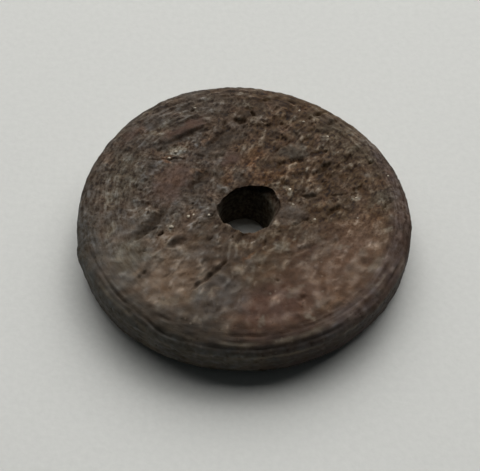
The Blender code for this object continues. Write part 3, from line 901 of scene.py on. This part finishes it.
def wall_wear(skin):
    """The worn wall: faint lines round it, soft hollows, pits and the knob."""
    turn, z = skin.turn, skin.z
    broad = 0.085 + 0.04 * wall_noise(turn, z, 2.2, 3.0, 20)
    fine = 0.04 * wall_noise(turn, z, 1.6, 0.28, 21)
    fine += 0.035 * wall_noise(turn, z, 0.35, 0.5, 22)
    pits = 0.35 * np.clip(wall_noise(turn, z, 0.22, 0.35, 23) - 0.55, 0.0, 1.0)
    knob = 0.30 * along_stretch(turn, KNOB_DIRECTION - 1, KNOB_DIRECTION + 1, 4)
    knob *= smooth_step(1.8, 0.4, np.abs(z - KNOB_HEIGHT))
    return broad + fine + pits - knob, fine, pits


def underside_wear(skin):
    """The underside: flat enough to rest on, with worn grain and a few marks."""
    broad = 0.03 + 0.03 * face_noise(skin.x, skin.y, 7.0, 7.0, 31)
    fine = 0.05 * grain_lines(skin.x, skin.y, 0.9, 4.0, 30)
    marks = mark_depths(UNDERSIDE_MARKS, skin.x, skin.y)
    return np.clip(broad + fine + marks, 0.0, None), fine, marks


def hole_wear(skin):
    """The wall of the hole: lines of the drill, soft lumps, and the far side of its lip chipped."""
    x, y, z = skin.x, skin.y, skin.z
    fine = 0.03 * perlin(x / 3.0, y / 3.0, z / 0.35, 32)
    fine += 0.04 * perlin(x / 0.8, y / 0.8, z / 0.8, 33)
    chip = 0.30 * along_stretch(skin.turn, 30, 130, 25) * smooth_step(4.6, 5.6, z)
    return 0.06 + fine + chip, fine, chip


def picked(skin, at):
    """The skin's corners at some places in its lists."""
    return Skin(*(values[at] for values in skin))


def worn_relief(size, skin, strokes):
    """The wear of the whole skin, as three rows. The face's goes over into the wall's where the
    shoulder turns down."""
    wears = {
        "face": lambda part: face_wear(size, part, strokes),
        "wall": wall_wear,
        "underside": underside_wear,
        "hole": hole_wear,
        "lip": hole_wear,
    }
    relief = np.zeros((3, len(skin.x)))
    for region, wear in wears.items():
        at = np.flatnonzero(skin.region == region)
        relief[:, at] = wear(picked(skin, at))
    at = np.flatnonzero((skin.region == "face") & (skin.inset < 0.6))
    share = smooth_step(0.6, 0.0, skin.inset[at])
    relief[:, at] += (np.array(wall_wear(picked(skin, at))) - relief[:, at]) * share
    return relief


# Colours of the skin

def blend_colour(under, over, share):
    """Colours with a share of another laid over each of them."""
    return under + (over - under) * share[:, None]


def tinted(base, tone):
    """Lightens or darkens colours by a tone: light ones turn a little greyer, dark ones browner."""
    spread = np.clip(tone, -1.5, 0.35)[:, None] * (np.array(TONE_SPREAD) - 1)
    return base * np.exp(0.9 * (tone[:, None] + spread))


def patch_colours(shade, x, y):
    """Brown bone, warmer to the right, with soft patches of tan, grey and ochre."""
    base = np.tile(shade["brown"], (len(x), 1))
    base = blend_colour(base, shade["umber"], smooth_step(-9.0, 6.0, x))
    tan = smooth_step(-0.1, 0.9, face_noise(x, y, 2.6, 1.9, 50))
    base = blend_colour(base, shade["tan"], 0.35 * tan)
    grey = smooth_step(-0.1, 0.9, face_noise(x, y, 2.2, 1.6, 51))
    base = blend_colour(base, shade["grey"], (0.45 - 0.25 * smooth_step(-6.0, 6.0, x)) * grey)
    ochre = smooth_step(0.2, 1.0, face_noise(x, y, 0.9, 0.8, 58))
    return blend_colour(base, shade["ochre"], 0.12 * ochre)


def stained(base, shade, stains, strength, x, y):
    """Lays stains over one another, each at its own cover times a strength."""
    for stain in stains:
        share = strength * stain.cover * stain_share(stain, x, y)
        base = blend_colour(base, shade[stain.colour], share)
    return base


def grain_tone(skin, lift, strokes, on_top):
    """How much lighter or darker the grain makes each point. Proud grain is painted lighter and sunk
    grain darker: a painted highlight and shade on its relief.
    """
    x, y = skin.x, skin.y
    # Painted highlight and shade: the lift of the relief lightens proud grain and darkens sunk grain
    tone = 0.32 * lift + 0.26 * grain_lines(x, y, 1.1, 2.0, 56)
    tone += 0.12 * face_noise(x, y, 3.5, 3.0, 57)
    mottle = (0.27 + 0.08 * smooth_step(0.0, -8.0, y)) * face_noise(x, y, 1.4, 1.1, 63)
    tone += (0.30 * stroke_tones(strokes, x, y) + mottle) * on_top
    strength = 0.85 + 0.35 * smooth_step(-8.0, 6.0, x + 0.5 * y) + 0.18 * smooth_step(2.0, -8.0, y)
    tone *= (1 - 0.7 * skin.calm) * strength
    far_side = (0.14 - 0.06 * smooth_step(0.0, 8.0, x)) * smooth_step(-4.0, 8.0, y)
    return tone - far_side * on_top


def shoulder_colours(base, shade, turn, inset):
    """The shoulder: mauve and streaked in front, greyed at the left, and lighter at the right as a
    painted highlight.
    """
    base = blend_colour(base, shade["mauve"], 0.60 * stretch_share(NEAR_SHOULDER, turn, inset))
    streaks = 0.52 * shoulder_noise(turn, inset, 3.5, 0.42, 17)
    streaks += 0.26 * shoulder_noise(turn, inset, 1.6, 0.25, 18) - 0.10
    base = tinted(base, streaks * stretch_share(TURNED_SHOULDER, turn, inset))
    # Painted highlight on the right of the shoulder, where its rounded edge catches the light
    base = tinted(base, 0.45 * stretch_share(RIGHT_EDGE_HIGHLIGHT, turn, inset))
    greyed = 0.50 * stretch_share(LEFT_EDGE, turn, inset)
    base = blend_colour(base, 0.8 * shade["wall"], greyed)
    dark = 0.42 * stretch_share(WORN_EDGE, turn, inset) * smooth_step(0.7, 1.3, inset)
    base = tinted(base, -(dark + line_amount(DARK_LINE, turn, inset)))
    far = 0.30 * (shade["grey"] + shade["olive"])
    return blend_colour(base, far, 0.60 * stretch_share(FAR_EDGE, turn, inset))


def wall_colours(base, shade, skin, inset, on_top):
    """The wall's greyed skin, which laps over the near edge, mottled, darker low down as painted
    shade where it meets the floor and lighter high at the front right as a painted highlight, with a
    warm dark stretch at the right and the ridges painted pale as a highlight."""
    turn, z = skin.turn, skin.z
    lap = smooth_step(1.2, 0.0, inset) * on_top * along_stretch(turn, -170, -70, 25)
    cover = np.where(skin.region == "wall", 1.0, lap)
    # Mottled, and darker low down: painted shade where the wall meets the floor
    mottle = 0.34 * wall_noise(turn, z, 0.8, 0.6, 59) - 0.30 * smooth_step(4.0, 0.5, z)
    mottle += 0.22 * wall_noise(turn, z, 1.5, 0.3, 62)
    mottle += 0.30 * wall_noise(turn, z, 0.25, 0.35, 64)
    mottle *= 0.65 + 0.35 * along_stretch(turn, -175, -5, 15)
    mottle -= 0.22 * along_stretch(turn, -80, -60, 12)
    # Painted highlight high on the wall at the front right
    mottle += 0.40 * along_stretch(turn, -60, -30, 12) * smooth_step(2.8, 4.0, z)
    greyed = tinted(np.tile(shade["wall"], (len(z), 1)), mottle)
    base = blend_colour(base, greyed, 0.85 * cover)
    right = 0.60 * along_stretch(turn, -70, 60, 20) * cover
    base = blend_colour(base, 0.75 * shade["mauve"], right)
    # Painted highlight: the ridges and the near corner laid over with pale
    return blend_colour(base, shade["pale"], 0.62 * ridge_highlight(turn, inset, z))


def skin_colours(size, colours, skin, fine, pits, strokes):
    """The bone's own colour at each corner, from its patches and stains up to the dust on top."""
    shade = {name: np.array(getattr(colours, name)[:3])
             for name in BoneDiscColours.__annotations__}
    x, y, region = skin.x, skin.y, skin.region
    inset = np.clip(size["radius"] - np.hypot(x, y), 0.0, None)
    on_top = region == "face"
    top = np.flatnonzero(on_top)
    top_x, top_y = x[top], y[top]
    edge_x = top_x + ragged(top_x, top_y, (0.5, 1.2, 52), (0.25, 0.4, 53))
    edge_y = top_y + ragged(top_x, top_y, (0.5, 1.2, 54), (0.25, 0.4, 55))

    base = patch_colours(shade, x, y)
    base[top] = stained(base[top], shade, FACE_STAINS, 1.0, edge_x, edge_y)
    lift = np.clip(-fine / size["grain_depth"], -1.4, 1.8)
    tone = grain_tone(skin, lift, strokes, on_top)
    base = blend_colour(base, shade["pale"], 0.30 * np.clip(tone, 0.0, 1.0))
    base = tinted(base, tone)
    base[top] = shoulder_colours(base[top], shade, skin.turn[top], inset[top])
    base = wall_colours(base, shade, skin, inset, on_top)
    base = blend_colour(base, 0.85 * shade["olive"], 0.90 * (region == "hole"))
    # Painted shade on the lip, where the mouth turns down into the hole
    base = blend_colour(base, 0.6 * shade["brown"], 0.60 * (region == "lip"))
    # Dark soil in the pits; in the grooves, on the ledge and in the hollows of the face this is
    # painted shade
    base = blend_colour(base, shade["soil"], 0.62 * smooth_step(0.02, 0.50, pits))
    base[top] = stained(base[top], shade, DUST_PLACES, DUST_STRENGTH, edge_x, edge_y)
    return base


def store_attribute(mesh, name, kind, field, values):
    """Stores values at the mesh's corners, for the material to read."""
    attribute = mesh.attributes.new(name, kind, "POINT")
    attribute.data.foreach_set(field, values.ravel())


def shape_disc(size, colours, rings, mesh):
    """Moves each corner of the turned skin to its worn place and stores its colour, its wear and
    its place along the lines of turning."""
    count = len(mesh.vertices)
    turned = np.empty(count * 3)
    mesh.vertices.foreach_get("co", turned)
    turned = turned.reshape(-1, 3)
    number = np.empty(count)
    mesh.attributes["ring"].data.foreach_get("value", number)
    mesh.attributes.remove(mesh.attributes["ring"])
    turn = np.arctan2(turned[:, 1], turned[:, 0])
    skin, out = place_rings(size, rings, np.rint(number).astype(int), turn)

    strokes = random_strokes(size)
    depth, fine, pits = worn_relief(size, skin, strokes)
    worn = np.column_stack([skin.x, skin.y, skin.z]) - out * depth[:, None]
    worn[:, 2] = np.clip(worn[:, 2], 0.0, size["thickness"])
    worn -= outline_middle(size["radius"])
    mesh.vertices.foreach_set("co", (worn * MM).ravel())

    colour = skin_colours(size, colours, skin, fine, pits, strokes)
    store_attribute(mesh, "stain", "FLOAT_COLOR", "color",
                    np.column_stack([colour, np.ones(count)]))
    cavity = smooth_step(0.05, 0.45, pits)
    crisp = crisp_share(skin.y) * (1 - 0.45 * skin.calm)
    banded = np.maximum(smooth_step(4.5, 2.0, skin.inset),
                        stretch_share(STREAKED_LEFT, turn, skin.inset))
    banded *= (skin.region == "face") | (skin.region == "wall")
    store_attribute(mesh, "wear", "FLOAT_VECTOR", "vector",
                    np.column_stack([cavity, crisp, banded]))
    section = skin.inset + np.where(skin.region == "wall", skin.z - size["thickness"], 0.0)
    circle_x, circle_y = STREAK_CIRCLE * np.cos(turn), STREAK_CIRCLE * np.sin(turn)
    store_attribute(mesh, "streak", "FLOAT_VECTOR", "vector",
                    np.column_stack([circle_x, circle_y, section]) * MM)
    mesh.update()


# Materials

def add_node(tree, kind, inputs=None, **settings):
    """Adds a node, sets its settings, and sets or links its inputs by name or place."""
    node = tree.nodes.new(kind)
    for name, value in settings.items():
        setattr(node, name, value)
    for name, value in (inputs or {}).items():
        if isinstance(value, bpy.types.NodeSocket):
            tree.links.new(value, node.inputs[name])
        else:
            node.inputs[name].default_value = value
    return node


def new_material(name):
    """A new material, with its node tree, its shader and the socket of its Object coordinates."""
    material = bpy.data.materials.new(name)
    material.use_nodes = True
    tree = material.node_tree
    place = add_node(tree, "ShaderNodeTexCoord").outputs["Object"]
    return material, tree, tree.nodes["Principled BSDF"], place


def cells(width_mm):
    """The scale of a noise whose cells are this many mm wide, on coordinates in metres."""
    return 1000.0 / width_mm


def worn_bone(fleck):
    """Old bone, turned and then darkened in the soil: matt in its pits, with a low sheen where it
    was rubbed, fine lines along the grain and pinholes where its pores are open."""
    material, tree, shader, place = new_material("bone_turned_and_soil_darkened")
    stain = add_node(tree, "ShaderNodeAttribute", attribute_name="stain").outputs["Color"]
    wear = add_node(tree, "ShaderNodeAttribute", attribute_name="wear").outputs["Vector"]
    wear = add_node(tree, "ShaderNodeSeparateXYZ", {"Vector": wear}).outputs
    cavity, crisp, banded = wear["X"], wear["Y"], wear["Z"]

    # The grain is drawn out to twice its width along 60 degrees
    grain = add_node(tree, "ShaderNodeMapping", {
        "Vector": place, "Rotation": (0.0, 0.0, math.radians(60)), "Scale": (2.0, 1.0, 1.0)},
        vector_type="TEXTURE").outputs[0]
    speckle = add_node(tree, "ShaderNodeTexNoise", {
        "Vector": place, "Scale": cells(0.42), "Detail": 3.0, "Roughness": 0.65}).outputs["Fac"]
    patches = add_node(tree, "ShaderNodeTexNoise", {
        "Vector": place, "Scale": cells(1.5), "Detail": 3.0, "Roughness": 0.6}).outputs["Fac"]
    grit = bone_grit(tree, grain, speckle, banded)
    colour = grit_shade(tree, stain, grit, crisp)
    colour = patch_lean(tree, colour, patches)
    colour = dried_flecks(tree, colour, place, fleck)
    hole = open_pinholes(tree, grain, patches, crisp)
    # Painted shade: the pinholes darken the colour, standing for the shade inside them
    dark = add_node(tree, "ShaderNodeMapRange", {
        "Value": hole, "To Min": 1.0, "To Max": 0.35}).outputs[0]
    colour = add_node(tree, "ShaderNodeVectorMath", {0: colour, "Scale": dark},
                      operation="SCALE").outputs[0]
    tree.links.new(colour, shader.inputs["Base Color"])

    rough = add_node(tree, "ShaderNodeMapRange", {
        "Value": speckle, "From Min": 0.3, "From Max": 0.7, "To Min": 0.62,
        "To Max": 0.82}).outputs[0]
    rough = add_node(tree, "ShaderNodeMath", {0: rough, 1: cavity}, operation="ADD",
                     use_clamp=True).outputs[0]
    tree.links.new(rough, shader.inputs["Roughness"])
    shader.inputs["IOR"].default_value = 1.50
    shader.inputs["Specular IOR Level"].default_value = 0.15

    height = add_node(tree, "ShaderNodeMath", {0: grit, 1: hole}, operation="SUBTRACT").outputs[0]
    bump = add_node(tree, "ShaderNodeBump", {
        "Height": height, "Distance": 0.06 * MM, "Strength": 0.8})
    tree.links.new(bump.outputs[0], shader.inputs["Normal"])
    return material


def bone_grit(tree, grain, speckle, banded):
    """Lines about 0.4 mm apart, along the grain or round the shoulder, with a speckle added."""
    streak = add_node(tree, "ShaderNodeAttribute", attribute_name="streak").outputs["Vector"]
    lines, turned = (add_node(tree, "ShaderNodeTexNoise", {
        "Vector": vector, "Scale": cells(0.40), "Detail": 3.0, "Roughness": 0.6}).outputs["Fac"]
        for vector in (grain, streak))
    lines = add_node(tree, "ShaderNodeMix", {
        "Factor": banded, "A": lines, "B": turned}).outputs["Result"]
    soft = add_node(tree, "ShaderNodeMapRange", {
        "Value": speckle, "To Min": 0.08, "To Max": 0.92}).outputs[0]
    return add_node(tree, "ShaderNodeMath", {0: lines, 1: soft}, operation="ADD").outputs[0]


def grit_shade(tree, stain, grit, crisp):
    """The stained bone, lighter and darker with its grit, and most where it is crisp."""
    deep = add_node(tree, "ShaderNodeMapRange", {
        "Value": crisp, "To Min": -0.32, "To Max": 0.68}).outputs[0]
    light = add_node(tree, "ShaderNodeMapRange", {
        "Value": grit, "From Min": 0.85, "From Max": 1.15, "To Min": -1.0, "To Max": 1.0},
        clamp=False).outputs[0]
    shade = add_node(tree, "ShaderNodeMath", {0: light, 1: deep}, operation="MULTIPLY").outputs[0]
    shade = add_node(tree, "ShaderNodeVectorMath", {
        0: shade, 1: TONE_SPREAD, 2: (1.0, 1.0, 1.0)}, operation="MULTIPLY_ADD").outputs[0]
    shade = add_node(tree, "ShaderNodeVectorMath", {0: shade, 1: (0.3, 0.3, 0.3)},
                     operation="MAXIMUM").outputs[0]
    return add_node(tree, "ShaderNodeVectorMath", {0: stain, 1: shade},
                    operation="MULTIPLY").outputs[0]


def patch_lean(tree, colour, patches):
    """Patches a millimetre or two wide lean to orange or to grey."""
    warm = add_node(tree, "ShaderNodeMapRange", {
        "Value": patches, "From Min": 0.3, "From Max": 0.7, "To Min": -1.0,
        "To Max": 1.0}).outputs[0]
    lean = add_node(tree, "ShaderNodeVectorMath", {
        0: (0.06, 0.0, -0.08), "Scale": warm}, operation="SCALE").outputs[0]
    lean = add_node(tree, "ShaderNodeVectorMath", {
        0: lean, 1: (1.0, 1.0, 1.0)}, operation="ADD").outputs[0]
    return add_node(tree, "ShaderNodeVectorMath", {0: colour, 1: lean},
                    operation="MULTIPLY").outputs[0]


def dried_flecks(tree, colour, place, fleck):
    """Specks of dried soil, about 0.3 mm wide, in a few of the cells."""
    specks = add_node(tree, "ShaderNodeTexVoronoi", {
        "Vector": place, "Scale": cells(0.62), "Randomness": 1.0})
    near = add_node(tree, "ShaderNodeMapRange", {
        "Value": specks.outputs["Distance"], "From Min": 0.16, "From Max": 0.34, "To Min": 1.0,
        "To Max": 0.0}).outputs[0]
    chance = add_node(tree, "ShaderNodeSeparateXYZ", {"Vector": specks.outputs["Color"]})
    chance = add_node(tree, "ShaderNodeMapRange", {
        "Value": chance.outputs["X"], "From Min": 0.86, "From Max": 1.0, "To Max": 0.35}).outputs[0]
    share = add_node(tree, "ShaderNodeMath", {0: near, 1: chance}, operation="MULTIPLY").outputs[0]
    return add_node(tree, "ShaderNodeMix", {
        "Factor": share, "A": colour, "B": tuple(fleck)}, data_type="RGBA").outputs["Result"]


def open_pinholes(tree, grain, patches, crisp):
    """Open ends of fine canals. Real ones are some 0.05 mm wide, which is too fine to show, so
    these are drawn about 0.2 mm wide. They stand in some patches only."""
    pinholes = add_node(tree, "ShaderNodeTexVoronoi", {
        "Vector": grain, "Scale": cells(0.42), "Randomness": 1.0})
    hole = add_node(tree, "ShaderNodeMapRange", {
        "Value": pinholes.outputs["Distance"], "From Min": 0.12, "From Max": 0.30, "To Min": 1.0,
        "To Max": 0.0}).outputs[0]
    sparse = add_node(tree, "ShaderNodeMapRange", {
        "Value": patches, "From Min": 0.48, "From Max": 0.60}).outputs[0]
    for share in (sparse, crisp):
        hole = add_node(tree, "ShaderNodeMath", {0: hole, 1: share},
                        operation="MULTIPLY").outputs[0]
    return hole


def shaded_colour(tree, shader, colour, tint, darkest, lightest):
    """An even colour that a noise takes from darkest to lightest."""
    shade = add_node(tree, "ShaderNodeMapRange", {
        "Value": tint, "From Min": 0.3, "From Max": 0.7, "To Min": darkest,
        "To Max": lightest}).outputs[0]
    tone = add_node(tree, "ShaderNodeVectorMath", {0: tuple(colour[:3]), "Scale": shade},
                    operation="SCALE").outputs[0]
    tree.links.new(tone, shader.inputs["Base Color"])


def pale_sand(colour):
    """Grains of pale quartz sand and shell grit: light and slightly waxy."""
    material, tree, shader, place = new_material("sand_grains_quartz")
    tint = add_node(tree, "ShaderNodeTexNoise", {"Vector": place, "Scale": cells(1.5)})
    shaded_colour(tree, shader, colour, tint.outputs["Fac"], 0.55, 1.1)
    shader.inputs["Roughness"].default_value = 0.45
    return material


def pale_board(colour):
    """Pale matt board, pressed from fibre: nearly even, with a faint tooth."""
    material, tree, shader, place = new_material("board_pale_matt")
    tooth = add_node(tree, "ShaderNodeTexNoise", {
        "Vector": place, "Scale": cells(0.8), "Detail": 4.0, "Roughness": 0.6}).outputs["Fac"]
    shaded_colour(tree, shader, colour, tooth, 0.965, 1.02)
    shader.inputs["Roughness"].default_value = 0.9
    bump = add_node(tree, "ShaderNodeBump", {
        "Height": tooth, "Distance": 0.03 * MM, "Strength": 0.6})
    tree.links.new(bump.outputs[0], shader.inputs["Normal"])
    return material


# Operators

def disc_size(context):
    """The disc's sizes in mm, and its counts and angles as they are."""
    sizes = context.scene.bone_disc_sizes
    lengths = ("diameter", "thickness", "shoulder_width", "shoulder_drop", "foot_rounding",
               "hole_foot", "hole_throat", "groove_depth", "grain_depth")
    size = {name: getattr(sizes, name) / MM for name in lengths}
    size["radius"] = size["diameter"] / 2
    size["mouth_radius"] = size["hole_throat"] / 2 + LIP_WIDTH
    for name in ("hole_lean", "pores", "strokes"):
        size[name] = getattr(sizes, name)
    return size


def add_piece(context, name, made, material):
    """A new object from a finished bmesh, with its material."""
    mesh = bpy.data.meshes.new(name)
    made.to_mesh(mesh)
    made.free()
    mesh.materials.append(material)
    piece = bpy.data.objects.new(name, mesh)
    context.scene.collection.objects.link(piece)
    return piece


class MESH_OT_bone_disc_body(bpy.types.Operator):
    """Make the worn disc: its face, grooved shoulder, wall, underside and drilled hole"""

    bl_idname = "mesh.bone_disc_body"
    bl_label = "Bone Disc Body"
    bl_options = {"REGISTER", "UNDO"}

    def execute(self, context):
        size, colours = disc_size(context), context.scene.bone_disc_colours
        rings = skin_rings(size)
        disc = add_piece(context, "bone_disc", turned_skin(rings), worn_bone(colours.fleck))
        shape_disc(size, colours, rings, disc.data)
        disc.data.shade_smooth()
        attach(disc, "root")
        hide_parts("pierced_disc")
        return {"FINISHED"}


class MESH_OT_bone_disc_sand(bpy.types.Operator):
    """Set grains of pale sand in the face of the disc"""

    bl_idname = "mesh.bone_disc_sand"
    bl_label = "Sand Grains"
    bl_options = {"REGISTER", "UNDO"}

    def execute(self, context):
        disc = bpy.data.objects["bone_disc"]
        middle = outline_middle(disc_size(context)["radius"])
        dice = np.random.default_rng(5)
        grains = bmesh.new()
        for x, y, width in SAND_GRAINS:
            over = Vector((x - middle[0], y - middle[1], ABOVE_DISC)) * MM
            hit, point, _, _ = disc.ray_cast(over, (0.0, 0.0, -1.0))
            if not hit:
                raise RuntimeError("a grain of sand lies off the disc")
            point.z = min(point.z, CAD_BOX[1].z - GRAIN_SUNK * width * MM)
            grain = bmesh.ops.create_icosphere(grains, subdivisions=2,
                                               radius=GRAIN_RADIUS * width * MM)
            for corner in grain["verts"]:
                corner.co *= 1 + 0.18 * noise.noise(corner.co * cells(0.25) + Vector((x, y, 0)))
            flat = Matrix.Diagonal((1.0, dice.uniform(0.7, 1.0), GRAIN_HEIGHT, 1.0))
            spin = Matrix.Rotation(dice.uniform(0, math.pi), 4, "Z")
            bmesh.ops.transform(grains, verts=grain["verts"],
                                matrix=Matrix.Translation(point) @ spin @ flat)
        sand = pale_sand(context.scene.bone_disc_colours.sand)
        piece = add_piece(context, "sand_grains", grains, sand)
        piece.data.shade_smooth()
        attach(piece, "root")
        return {"FINISHED"}


class SCENE_OT_bone_disc_stage(bpy.types.Operator):
    """Make the pale floor, the soft light and the camera"""

    bl_idname = "scene.bone_disc_stage"
    bl_label = "Floor, Light and Camera"
    bl_options = {"REGISTER", "UNDO"}

    def execute(self, context):
        make_floor(context)
        for light in LIGHTS:
            make_light(context, light)
        make_world(context)
        make_camera(context)
        context.scene.view_settings.view_transform = "Standard"
        return {"FINISHED"}


def make_floor(context):
    """A pale floor that reaches well past the picture."""
    board = bmesh.new()
    bmesh.ops.create_grid(board, x_segments=1, y_segments=1, size=FLOOR_REACH)
    floor = add_piece(context, "floor", board, pale_board(context.scene.bone_disc_colours.floor))


def make_light(context, light):
    """A wide soft light that faces the disc."""
    lamp = bpy.data.lights.new(light.name, "AREA")
    lamp.shape = "RECTANGLE"
    lamp.size, lamp.size_y = light.width, light.height
    lamp.energy = light.watts
    holder = bpy.data.objects.new(light.name, lamp)
    turn, rise = math.radians(light.direction), math.radians(light.elevation)
    reach = math.cos(rise)
    holder.location = LIGHT_DISTANCE * Vector((
        reach * math.cos(turn), reach * math.sin(turn), math.sin(rise)))
    holder.rotation_euler = (-holder.location).to_track_quat("-Z", "Y").to_euler()
    context.scene.collection.objects.link(holder)


def make_world(context):
    """A faint even light from the rest of the room."""
    world = bpy.data.worlds.new("soft_room")
    world.use_nodes = True
    sky = world.node_tree.nodes["Background"]
    sky.inputs["Color"].default_value = linear_colour(ROOM_COLOUR)
    sky.inputs["Strength"].default_value = ROOM_STRENGTH
    context.scene.world = world


def make_camera(context):
    """The camera of the photograph's view. Places are from the axis, so the middle is taken off."""
    camera = bpy.data.cameras.new("camera")
    camera.lens = VIEW_LENS
    camera.clip_start = 0.005
    eye = bpy.data.objects.new("camera", camera)
    middle = outline_middle(disc_size(context)["radius"]) * MM
    eye.location = (
        -VIEW_LEFT - middle[0],
        -VIEW_DISTANCE * math.cos(VIEW_ELEVATION) - middle[1],
        VIEW_DISTANCE * math.sin(VIEW_ELEVATION),
    )
    eye.rotation_euler = (math.radians(90) - VIEW_ELEVATION, 0.0, 0.0)
    context.scene.collection.objects.link(eye)
    context.scene.camera = eye


class VIEW3D_PT_bone_disc(bpy.types.Panel):
    """Lists the disc's pieces, sizes and colours"""

    bl_idname = "VIEW3D_PT_bone_disc"
    bl_label = "Pierced Bone Disc"
    bl_space_type = "VIEW_3D"
    bl_region_type = "UI"
    bl_category = "Bone Disc"

    def draw(self, context):
        layout = self.layout
        for group in (context.scene.bone_disc_sizes, context.scene.bone_disc_colours):
            box = layout.box()
            for name in group.__annotations__:
                box.prop(group, name)
        for operator in OPERATORS:
            layout.operator(operator.bl_idname)


OPERATORS = (MESH_OT_bone_disc_body, MESH_OT_bone_disc_sand, SCENE_OT_bone_disc_stage)
CLASSES = (BoneDiscSizes, BoneDiscColours, *OPERATORS, VIEW3D_PT_bone_disc)


def register():
    for cls in CLASSES:
        bpy.utils.register_class(cls)
    bpy.types.Scene.bone_disc_sizes = PointerProperty(type=BoneDiscSizes)
    bpy.types.Scene.bone_disc_colours = PointerProperty(type=BoneDiscColours)


def unregister():
    del bpy.types.Scene.bone_disc_colours
    del bpy.types.Scene.bone_disc_sizes
    for cls in reversed(CLASSES):
        bpy.utils.unregister_class(cls)


def main():
    register()
    bpy.ops.mesh.bone_disc_body()
    bpy.ops.mesh.bone_disc_sand()
    bpy.ops.scene.bone_disc_stage()


if __name__ == "__main__":
    main()
